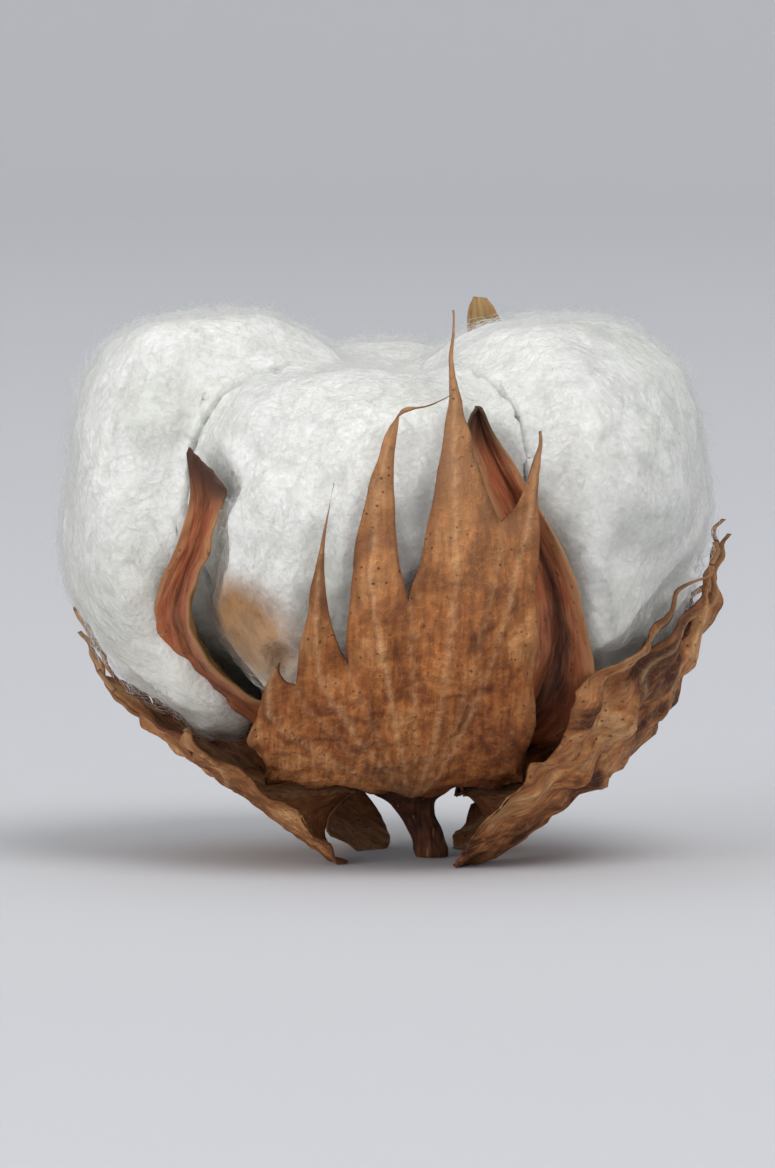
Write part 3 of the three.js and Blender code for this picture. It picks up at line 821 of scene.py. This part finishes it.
for number, bract in enumerate(BRACTS):
    flat, net = bract_net(bract)
    x, y = flat.T
    fan = np.linspace(0, 1, 80)[:, None]
    midribs = []
    for tooth in range(len(bract["tips"])):
        midribs += [fan * tooth_line(bract, tooth, 2)[0], tooth_line(bract, tooth, 60)]
    side_veins = np.vstack([fan * np.array(sinus) for sinus in bract["sinuses"][1:-1]])
    vein = np.exp(-((nearest(flat, np.vstack(midribs)) / MIDRIB_WIDTH) ** 2))
    side_vein = 0.6 * np.exp(-((nearest(flat, side_veins) / SIDE_VEIN_WIDTH) ** 2))
    vein = np.maximum(vein, side_vein)
    from_margin = nearest(flat, flat[np.unique(border_of(net))])
    margin = np.exp(-from_margin / 0.8)
    creased = bract["creases"] * crumple(x, y, CRUMPLE_SIZE, 60 + number) * smoothstep(y, -3, 6)
    creased = creased + 0.3 * bract["creases"] * crumple(x, y, FINE_CRUMPLE_SIZE, 70 + number)
    curled = MARGIN_CURL * np.exp(-from_margin / 1.2) * np.sin(0.7 * y + 1.1 * x + number)
    half = BRACT_THICKNESS / 2
    outward = half + creased + curled + VEIN_HEIGHT * vein
    inward = half - creased - curled
    points, faces = thin_sheet(flat, net, bract_surface(bract), BRACT_STEP, outward, inward)
    points[:, 2] = np.maximum(points[:, 2], -STALK_STUB)
    lowest_notch = np.min(bract["sinuses"], axis=0)[1]
    highest_tip = np.max(bract["tips"], axis=0)[1]
    tooth = bract["bleached"] * smoothstep(y, lowest_notch + 6, highest_tip)
    marks = {"inner": np.repeat([0.0, 1.0], len(flat)), "vein": np.tile(vein, 2)}
    marks |= {"margin": np.tile(margin, 2), "tooth": np.tile(tooth, 2)}
    paper = dry_leaf(f"{bract['name']}_paper", bract["colours"])
    layout = np.tile(flat + (0, BRACTS_APART * number), (2, 1))
    piece = make_piece(bract["name"], points, faces, paper, marks, layout)
    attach(piece, "root")
    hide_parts(bract["node"])
    bract["piece"] = piece


# Lint
# Five locks of cotton, one out of each chamber of the burr: fine white hairs grown from the seeds,
# matted into soft tufts that press on the valves and stand loose where nothing holds them.

LOCKS = ("lock_1", "lock_2", "lock_3", "lock_4", "lock_5")
LINT_VOXEL = 0.65
CLOUD_VOXEL = 0.8
WELD = 0.001  # corners of a lock closer than this are one
LINT_HEART = (0, 0, 20)  # the hairs turn outwards from here
LINT_SWELL = 0.45  # takes up the gap between two locks
CLEFT_FILL = 3.4  # clefts narrower than twice this are closed where the locks have run together
LINT_DENT = 2  # how deep a valve or a bract presses into the lint beside it
TUFT_SIZE = 8
TUFT_HEIGHT = 1.8
CURD_SIZE = 2.6
CURD_HEIGHT = 0.5
MATTED_PER_MM2 = 3.3
LOOSE_PER_MM2 = 1.25
MATTED_RADIUS = 0.017
LOOSE_RADIUS = 0.012
MATTED_LENGTH = 4.6
LOOSE_LENGTH = 4.8
HAIR_POINTS = 5
HAIR_KINDS = 9
STAIN = (-15.2, -20.5, 14.4)  # where the lint has yellowed, in the chamber behind the front valve
STAIN_REACH = (3.5, 8)  # full within the first distance from there, and gone at the second
LOW_TINT_HEIGHT = (12, 34)  # the lint is darker and creamier at the first height and plain white at the second


def lint_white(name, shade, soft):
    """Lint: soft white with faint clouds and flecks, darker and creamier low down, yellowed at the
    stain.
    """
    material, tree, shader = new_finish(name, Roughness=1.0, Specular_IOR_Level=0.1)
    shader.inputs["Subsurface Weight"].default_value = soft
    shader.inputs["Subsurface Radius"].default_value = (1.0, 0.95, 0.85)
    shader.inputs["Subsurface Scale"].default_value = 1.5 * MM
    place = add_node(tree, "ShaderNodeTexCoord", {}).outputs["Object"]
    clouds = grain(tree, place, 9, detail=4, distortion=0.4)
    flecks = grain(tree, place, 0.5, detail=4)
    cool, white, warm = paint(236, 237, 230), paint(248, 248, 245), paint(252, 251, 246)
    lint = colours(tree, clouds, (0.3, cool), (0.5, white), (0.7, warm))
    lint = over(tree, between(tree, flecks, 0.35, 0.65, shade, 0), lint, paint(214, 212, 200))
    inputs = {0: place, 1: tuple(in_frame(STAIN))}
    away = add_node(tree, "ShaderNodeVectorMath", inputs, operation="DISTANCE").outputs["Value"]
    full, gone = (MM * reach for reach in STAIN_REACH)
    stained = between(tree, away, full, gone, 1, 0)
    stained = times(tree, stained, between(tree, clouds, 0.3, 0.6, 0.75, 1))
    lint = over(tree, stained, lint, paint(178, 114, 32))
    # The lint grows darker and creamier towards the bottom.
    height = add_node(tree, "ShaderNodeSeparateXYZ", {0: place}).outputs["Z"]
    low, high = (MM * level for level in LOW_TINT_HEIGHT)
    low_tint = between(tree, height, low, high, 0.5, 0)
    low_tint = times(tree, low_tint, between(tree, clouds, 0.35, 0.65, 0.4, 1))
    lint = over(tree, low_tint, lint, paint(226, 217, 192))
    tree.links.new(lint, shader.inputs["Base Color"])
    relief(tree, shader, flecks, 0.2)
    return material


def hair_mesh(name, line, radius):
    """One closed three-sided hair along a line, drawn to a point at both ends."""
    points = [line[0]]
    for i in range(1, len(line) - 1):
        run = line[i + 1] - line[i - 1]
        first = np.cross(run, (0.3, 0.5, 1))
        first /= np.linalg.norm(first)
        second = np.cross(run / np.linalg.norm(run), first)
        thin = radius * (1 - 0.5 * abs(2 * i / (len(line) - 1) - 1))
        for corner in range(3):
            turn = corner * 2 * math.pi / 3
            points.append(line[i] + thin * (first * math.cos(turn) + second * math.sin(turn)))
    points.append(line[-1])
    last = len(points) - 4
    faces = []
    for corner in range(3):
        a, b = 1 + corner, 1 + (corner + 1) % 3
        faces.append((0, b, a))
        faces.append((last + corner, last + (corner + 1) % 3, last + 3))
        for ring in range(0, last - 1, 3):
            faces.append((ring + a, ring + b, ring + b + 3, ring + a + 3))
    mesh = bpy.data.meshes.new(name)
    mesh.from_pydata((MM * np.array(points)).tolist(), [], faces)
    return mesh


def hair_kinds(name, seed, length, radius, lift):
    """A collection of hairs of one kind, each curled its own way."""
    random = np.random.default_rng(seed)
    kinds = bpy.data.collections.new(name)
    for kind in range(HAIR_KINDS):
        share = np.linspace(0, 1, HAIR_POINTS)
        sway = random.uniform(-0.35, 0.35) * length
        sway = sway * np.sin(math.pi * share * random.uniform(0.8, 1.6))
        waver = random.normal(0, 0.05, HAIR_POINTS) * length
        run = length * (share - 0.5) * random.uniform(0.7, 1.1)
        line = np.stack([run, sway + waver, lift(share, random)], -1)
        mesh = hair_mesh(f"{name}_{kind}", line, radius)
        kinds.objects.link(bpy.data.objects.new(f"{name}_{kind}", mesh))
    return kinds


def matted(share, random):
    """The height of a hair that lies on the lint, along its length."""
    rise = random.uniform(0.3, 0.9) * np.sin(math.pi * share) - 0.2
    return rise + random.normal(0, 0.06, HAIR_POINTS)


def loose(share, random):
    """The height of a hair that stands away from the lint, along its length."""
    rise = random.uniform(0.8, 2.1) * share ** random.uniform(0.8, 1.6) - 0.4
    return rise + random.normal(0, 0.08, HAIR_POINTS)


def welded(name, nodes):
    """The solids of some nodes as one object, with their loose triangles joined."""
    joined = bmesh.new()
    for node in nodes:
        joined.from_mesh(frame["nodes"][node].data)
    bmesh.ops.remove_doubles(joined, verts=joined.verts, dist=WELD * MM)
    mesh = bpy.data.meshes.new(name)
    joined.to_mesh(mesh)
    joined.free()
    return add_object(name, mesh)


def make_even(puff, voxel):
    """Gives an object a skin of small faces, all of about one size."""
    even = puff.modifiers.new("even", "REMESH")
    even.mode = "VOXEL"
    even.voxel_size = voxel * MM


def settled(puff):
    """The mesh that an object's modifiers make. The object itself goes."""
    evaluated = puff.evaluated_get(bpy.context.evaluated_depsgraph_get())
    mesh = bpy.data.meshes.new_from_object(evaluated)
    bpy.data.objects.remove(puff)
    return mesh


def lint_cloud():
    """The five locks run together into one cloud, with the clefts between them closed."""
    rough = welded("lint_cloud_rough", LOCKS)
    for swell in (CLEFT_FILL, -CLEFT_FILL):
        make_even(rough, CLOUD_VOXEL)
        grow = rough.modifiers.new("grow", "DISPLACE")
        grow.strength = swell * MM
        grow.mid_level = 0
    soften = rough.modifiers.new("soften", "SMOOTH")
    soften.iterations = 12
    return bpy.data.objects.new("lint_cloud", settled(rough))


def lint_tree():
    """Draws a lock out to the cloud, lumps it into tufts, and lays hairs over what shows."""
    tree = bpy.data.node_groups.new("lint", "GeometryNodeTree")
    sockets = {}

    def take(name, kind, value=None):
        socket = tree.interface.new_socket(name, in_out="INPUT", socket_type=f"NodeSocket{kind}")
        if value is not None:
            socket.default_value = value
        sockets[name] = socket.identifier

    take("Lock", "Geometry")
    take("Swell", "Float", LINT_SWELL * MM)
    take("Dent", "Float", LINT_DENT * MM)
    take("Tuft size", "Float", TUFT_SIZE * MM)
    take("Tuft height", "Float", TUFT_HEIGHT * MM)
    take("Curd size", "Float", CURD_SIZE * MM)
    take("Curd height", "Float", CURD_HEIGHT * MM)
    take("Heart", "Vector")
    take("Cloud", "Object")
    take("Pressed by", "Collection")
    take("Matted hairs", "Collection")
    take("Matted density", "Float", MATTED_PER_MM2 / MM**2)
    take("Loose hairs", "Collection")
    take("Loose density", "Float", LOOSE_PER_MM2 / MM**2)
    take("Seed", "Int")
    take("Body finish", "Material")
    take("Hair finish", "Material")
    tree.interface.new_socket("Lint", in_out="OUTPUT", socket_type="NodeSocketGeometry")
    given = add_node(tree, "NodeGroupInput", {}).outputs

    place = add_node(tree, "GeometryNodeInputPosition", {}).outputs[0]
    normal = add_node(tree, "GeometryNodeInputNormal", {}).outputs[0]

    def vectors(operation, *inputs):
        node = add_node(tree, "ShaderNodeVectorMath", dict(enumerate(inputs)), operation=operation)
        return node.outputs["Value" if operation == "DOT_PRODUCT" else "Vector"]

    def pushed(geometry, way, length):
        inputs = {0: way, "Scale": length}
        offset = add_node(tree, "ShaderNodeVectorMath", inputs, operation="SCALE").outputs[0]
        inputs = {"Geometry": geometry, "Offset": offset}
        return add_node(tree, "GeometryNodeSetPosition", inputs).outputs[0]

    def nearest_face(geometry):
        node = add_node(tree, "GeometryNodeProximity", {0: geometry}, target_element="FACES")
        return node.outputs

    def eased(distance, near, far, start=0.0, end=1.0):
        return between(tree, distance, near * MM, far * MM, start, end)

    pressers = add_node(tree, "GeometryNodeCollectionInfo", {"Collection": given["Pressed by"]})
    pressers = add_node(tree, "GeometryNodeRealizeInstances", {0: pressers.outputs[0]}).outputs[0]
    apart = nearest_face(pressers)["Distance"]
    plump = times(tree, given["Swell"], eased(apart, 0.7, 1.8))
    swollen = pushed(given["Lock"], normal, plump)

    cloud = add_node(tree, "GeometryNodeObjectInfo", {"Object": given["Cloud"]}).outputs["Geometry"]
    skin = nearest_face(cloud)
    drawn = times(tree, eased(skin["Distance"], 2.5, 6, 1, 0), eased(apart, 0.8, 3))
    inputs = {0: drawn, 4: place, 5: skin["Position"]}
    out = add_node(tree, "ShaderNodeMix", inputs, data_type="VECTOR").outputs[1]
    inputs = {"Geometry": swollen, "Position": out}
    filled = add_node(tree, "GeometryNodeSetPosition", inputs).outputs[0]

    def lumps(size, height):
        scale = combine(tree, "DIVIDE", 1.0, given[size])
        inputs = {"Vector": place, "Scale": scale, "Detail": 2.0, "Roughness": 0.45}
        fac = add_node(tree, "ShaderNodeTexNoise", inputs).outputs["Fac"]
        return times(tree, combine(tree, "SUBTRACT", fac, 0.42), given[height])

    tufts = lumps("Tuft size", "Tuft height")
    rise = combine(tree, "ADD", tufts, lumps("Curd size", "Curd height"))
    tufted = pushed(filled, normal, times(tree, rise, eased(apart, 0.5, 3)))

    outward = vectors("NORMALIZE", vectors("SUBTRACT", place, given["Heart"]))
    dent = times(tree, given["Dent"], eased(apart, 0.2, 2.8, -1, 0))
    body = pushed(tufted, outward, dent)
    shown = between(tree, vectors("DOT_PRODUCT", normal, outward), 0.15, 0.55)

    def random_value(low, high, seed):
        inputs = {2: low, 3: high, "Seed": seed}
        return add_node(tree, "FunctionNodeRandomValue", inputs, data_type="FLOAT").outputs[1]

    def hairs(kinds, density, near, far, shift):
        free = times(tree, shown, eased(apart, near, far))
        seed = combine(tree, "ADD", given["Seed"], shift)
        inputs = {"Mesh": body, "Density": times(tree, given[density], free), "Seed": seed}
        spread = add_node(tree, "GeometryNodeDistributePointsOnFaces", inputs).outputs
        inputs = {"Vector": place, "Scale": 0.22 / MM, "Detail": 1.0}
        swirl = add_node(tree, "ShaderNodeTexNoise", inputs).outputs["Fac"]
        own = random_value(-0.9, 0.9, shift + 1)
        angle = combine(tree, "ADD", times(tree, swirl, 14.0), own)
        inputs = {"Axis": (0, 0, 1), "Angle": angle}
        spin = add_node(tree, "FunctionNodeAxisAngleToRotation", inputs).outputs[0]
        inputs = {0: spread["Rotation"], 1: spin}
        turned = add_node(tree, "FunctionNodeRotateRotation", inputs, rotation_space="LOCAL")
        info = {"Collection": given[kinds], "Separate Children": True, "Reset Children": True}
        inputs = {
            "Points": spread["Points"],
            "Instance": add_node(tree, "GeometryNodeCollectionInfo", info).outputs[0],
            "Pick Instance": True,
            "Rotation": turned.outputs[0],
            "Scale": random_value(0.6, 1.25, shift + 2),
        }
        return add_node(tree, "GeometryNodeInstanceOnPoints", inputs).outputs[0]

    def finished(geometry, finish):
        inputs = {0: geometry, "Material": given[finish]}
        return add_node(tree, "GeometryNodeSetMaterial", inputs).outputs[0]

    coat = add_node(tree, "GeometryNodeJoinGeometry", {})
    tree.links.new(hairs("Matted hairs", "Matted density", 0.7, 2.0, 10), coat.inputs[0])
    tree.links.new(hairs("Loose hairs", "Loose density", 2.2, 4.5, 20), coat.inputs[0])
    coat = add_node(tree, "GeometryNodeRealizeInstances", {0: coat.outputs[0]}).outputs[0]
    lint = add_node(tree, "GeometryNodeJoinGeometry", {})
    tree.links.new(finished(coat, "Hair finish"), lint.inputs[0])
    tree.links.new(finished(body, "Body finish"), lint.inputs[0])
    smooth = add_node(tree, "GeometryNodeSetShadeSmooth", {0: lint.outputs[0]}).outputs[0]
    add_node(tree, "NodeGroupOutput", {0: smooth})
    return tree, sockets


lint, lint_sockets = lint_tree()
lint_body = lint_white("lint_body", 0.35, 0.35)
lint_hair = lint_white("lint_hair", 0.1, 1.0)
matted_hairs = hair_kinds("matted_hair", 5, MATTED_LENGTH, MATTED_RADIUS, matted)
loose_hairs = hair_kinds("loose_hair", 6, LOOSE_LENGTH, LOOSE_RADIUS, loose)
cloud = lint_cloud()
pressing = bpy.data.collections.new("pressing")
for piece in [burr, *(bract["piece"] for bract in BRACTS)]:
    pressing.objects.link(piece)

for number, node in enumerate(LOCKS):
    puff = welded(f"{node}_puff", [node])
    make_even(puff, LINT_VOXEL)
    soften = puff.modifiers.new("soften", "SMOOTH")
    soften.factor = 0.5
    soften.iterations = 6
    coat = puff.modifiers.new("lint", "NODES")
    coat.node_group = lint
    given = {
        "Heart": tuple(in_frame(LINT_HEART)),
        "Cloud": cloud,
        "Pressed by": pressing,
        "Matted hairs": matted_hairs,
        "Loose hairs": loose_hairs,
        "Seed": 100 * number,
        "Body finish": lint_body,
        "Hair finish": lint_hair,
    }
    for name, value in given.items():
        coat[lint_sockets[name]] = value
    fluffy = settled(puff)
    fluffy.name = f"{node}_lint"
    piece = add_object(f"{node}_lint", fluffy)
    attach(piece, "root")
    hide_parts(node)

for hairs in (matted_hairs, loose_hairs):
    for hair in list(hairs.objects):
        bpy.data.objects.remove(hair)
    bpy.data.collections.remove(hairs)
bpy.data.collections.remove(pressing)
bpy.data.objects.remove(cloud)


# Stage
# A pale sweep that runs up on all sides, one broad soft light above the front, a weaker one at the
# other side, and a long lens at the height from which the boll was seen.

FLOOR_RADIUS = 3000
FLOOR_SIDES = 96
FLOOR_COLOUR = (204, 205, 208)
SWEEP_BEND = 1200
SWEEP_HEIGHT = 2800
SWEEP_STEPS = 24
SKY_COLOUR = (0.97, 0.985, 1.0, 1.0)
SKY_STRENGTH = 0.76
CAMERA_DISTANCE = 950
CAMERA_ELEVATION = 4
CAMERA_LENS = 316
CAMERA_FILM = 36
LOOK_AT = (0, 0, 25.4)

floor_finish, tree, shader = new_finish("floor_paper", Roughness=0.9, Specular_IOR_Level=0.1)
shader.inputs["Base Color"].default_value = paint(*FLOOR_COLOUR)
bend = np.linspace(0, math.pi / 2, SWEEP_STEPS)
level = FLOOR_RADIUS - SWEEP_BEND
sweep = [(share * level, 0) for share in (0, 0.04, 0.12, 0.3, 0.6, 1)]
sweep += [(level + SWEEP_BEND * math.sin(t), SWEEP_BEND * (1 - math.cos(t))) for t in bend[1:]]
sweep += [(FLOOR_RADIUS, SWEEP_HEIGHT), (FLOOR_RADIUS + 30, SWEEP_HEIGHT)]
azimuth = np.arange(FLOOR_SIDES) * 2 * math.pi / FLOOR_SIDES
rings = np.array([around(azimuth, radius, height) for radius, height in sweep[1:]]).reshape(-1, 3)
faces = []
for i in range(FLOOR_SIDES):
    j = (i + 1) % FLOOR_SIDES
    faces.append((len(rings), i, j))
    for ring in range(0, len(rings) - FLOOR_SIDES, FLOOR_SIDES):
        above = ring + FLOOR_SIDES
        faces.append((ring + j, ring + i, above + i, above + j))
floor_mesh = bpy.data.meshes.new("floor")
floor_mesh.from_pydata((MM * np.vstack([rings, [(0, 0, 0)]])).tolist(), [], faces)
floor_mesh.materials.append(floor_finish)
floor_mesh.shade_smooth()
floor = add_object("floor", floor_mesh)

world = bpy.data.worlds.new("studio")
world.use_nodes = True
sky = world.node_tree.nodes["Background"]
sky.inputs["Color"].default_value = SKY_COLOUR
sky.inputs["Strength"].default_value = SKY_STRENGTH
bpy.context.scene.world = world
bpy.context.scene.view_settings.view_transform = "Standard"


def soft_light(name, place, size, watts):
    """A round soft light that faces the boll."""
    light = bpy.data.lights.new(name, "AREA")
    light.shape = "DISK"
    light.size = size * MM
    light.energy = watts
    lamp = add_object(name, light)
    lamp.location = MM * np.array(place)
    towards = Vector(MM * np.array(LOOK_AT)) - lamp.location
    lamp.rotation_euler = towards.to_track_quat("-Z", "Y").to_euler()


soft_light("key_light", (1000, -1500, 3000), 2000, 46)
soft_light("fill_light", (-1000, -1000, 400), 1000, 9)

camera_data = bpy.data.cameras.new("camera")
camera_data.lens = CAMERA_LENS
camera_data.sensor_width = CAMERA_FILM
camera_data.clip_start = 0.01
camera = add_object("camera", camera_data)
elevation = math.radians(CAMERA_ELEVATION)
stand = CAMERA_DISTANCE * np.array([0, -math.cos(elevation), math.sin(elevation)])
camera.location = MM * (np.array(LOOK_AT) + stand)
camera.rotation_euler = (math.pi / 2 - elevation, 0, 0)
bpy.context.scene.camera = camera
